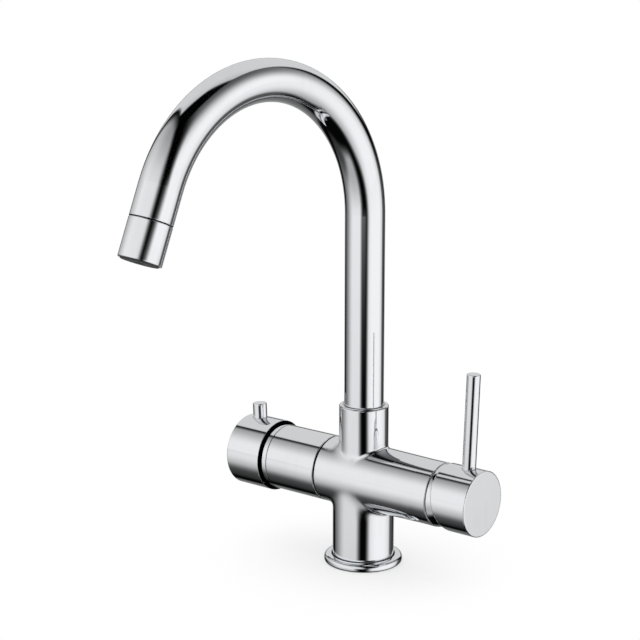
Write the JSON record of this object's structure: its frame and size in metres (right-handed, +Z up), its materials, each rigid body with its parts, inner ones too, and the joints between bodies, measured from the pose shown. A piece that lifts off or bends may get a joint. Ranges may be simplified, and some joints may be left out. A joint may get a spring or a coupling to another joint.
{
  "type": "filter kitchen mixer tap",
  "caption": "Chrome kitchen mixer tap with a swan neck swivel spout, a side pin lever for mixed water and a turning knob for filtered water.",
  "frame": {"origin": "centre of the column's foot, on the worktop, on the spout's swivel axis", "axes": "+Z up, -Y towards the user (the spout reaches this way), +X along the arm to the mixer handle"},
  "size_m": [0.2105, 0.2442, 0.363],
  "materials": {
    "polished_chrome": "bright polished chrome plate on brass",
    "turned_brass": "plain turned brass",
    "stainless_steel": "plain turned stainless steel",
    "black_rubber": "matt black rubber",
    "white_ceramic": "lapped white ceramic",
    "white_acetal": "smooth white acetal",
    "grey_plastic": "moulded grey plastic",
    "clear_white_tube": "milky drinking water tube",
    "outlet_plastic": "moulded grey outlet plastic",
    "plug_plastic": "smooth silver grey plug"
  },
  "bodies": {
    "fixed_body": {"base_ring": "polished_chrome", "cast_body": "polished_chrome", "dome_ring": "polished_chrome", "filter_sleeve": "polished_chrome", "cartridge_nut": "turned_brass", "filter_headwork": "turned_brass", "sleeve_nut": "turned_brass", "spout_keeper_screw": "stainless_steel", "base_gasket": "black_rubber", "filter_tube_seal": "black_rubber", "cartridge_port_seals": "black_rubber", "headwork_seal": "black_rubber", "cartridge_fixed_disc": "white_ceramic", "filter_fixed_disc": "white_ceramic", "spout_slide_ring": "white_acetal", "spout_thrust_ring": "white_acetal", "cartridge_base": "grey_plastic", "cartridge_housing": "grey_plastic"},
    "spout": {"spout_tube": "polished_chrome", "spout_foot": "turned_brass", "spout_seals": "black_rubber", "filter_tube": "clear_white_tube", "nozzle_adaptor": "turned_brass", "nozzle_shell": "polished_chrome", "nozzle_washer": "black_rubber", "aerator": "outlet_plastic", "filter_jet": "outlet_plastic"},
    "cartridge_turn": {"cartridge_carrier": "white_acetal", "pivot_pin": "stainless_steel"},
    "mixer_handle": {"cartridge_stem": "stainless_steel", "handle_cap": "polished_chrome", "handle_insert": "turned_brass", "handle_screw": "stainless_steel", "handle_plug": "plug_plastic", "pin_lever": "polished_chrome"},
    "mixer_disc": {"disc_coupler": "white_acetal", "cartridge_moving_disc": "white_ceramic"},
    "filter_handle": {"filter_knob": "polished_chrome", "knob_insert": "turned_brass", "knob_screw": "stainless_steel", "stub_pin": "polished_chrome", "filter_spindle": "turned_brass", "spindle_clip": "stainless_steel", "filter_moving_disc": "white_ceramic"}
  },
  "joints": [
    {"name": "spout_swivel", "type": "hinge", "parent": "fixed_body", "child": "spout", "pos_m": [0, 0, 0.09], "axis": [0, 0, 1], "continuous": true},
    {"name": "filter_turn", "type": "hinge", "parent": "fixed_body", "child": "filter_handle", "pos_m": [-0.09, 0, 0.0636], "axis": [1, 0, 0], "range_deg": [0, 90]},
    {"name": "mixer_turn", "type": "hinge", "parent": "fixed_body", "child": "cartridge_turn", "pos_m": [0.0657, 0, 0.0636], "axis": [1, 0, 0], "range_deg": [-50, 50]},
    {"name": "mixer_tilt", "type": "hinge", "parent": "cartridge_turn", "child": "mixer_handle", "pos_m": [0.0657, 0, 0.0636], "axis": [0, 1, 0], "range_deg": [0, 25]},
    {"name": "disc_shift", "type": "slide", "parent": "cartridge_turn", "child": "mixer_disc", "axis": [0, 0, 1], "range_m": [0, 0.004]}
  ],
  "couplings": [
    {"joint": "disc_shift", "follows": "mixer_tilt", "m_per_rad": 0.009}
  ]
}
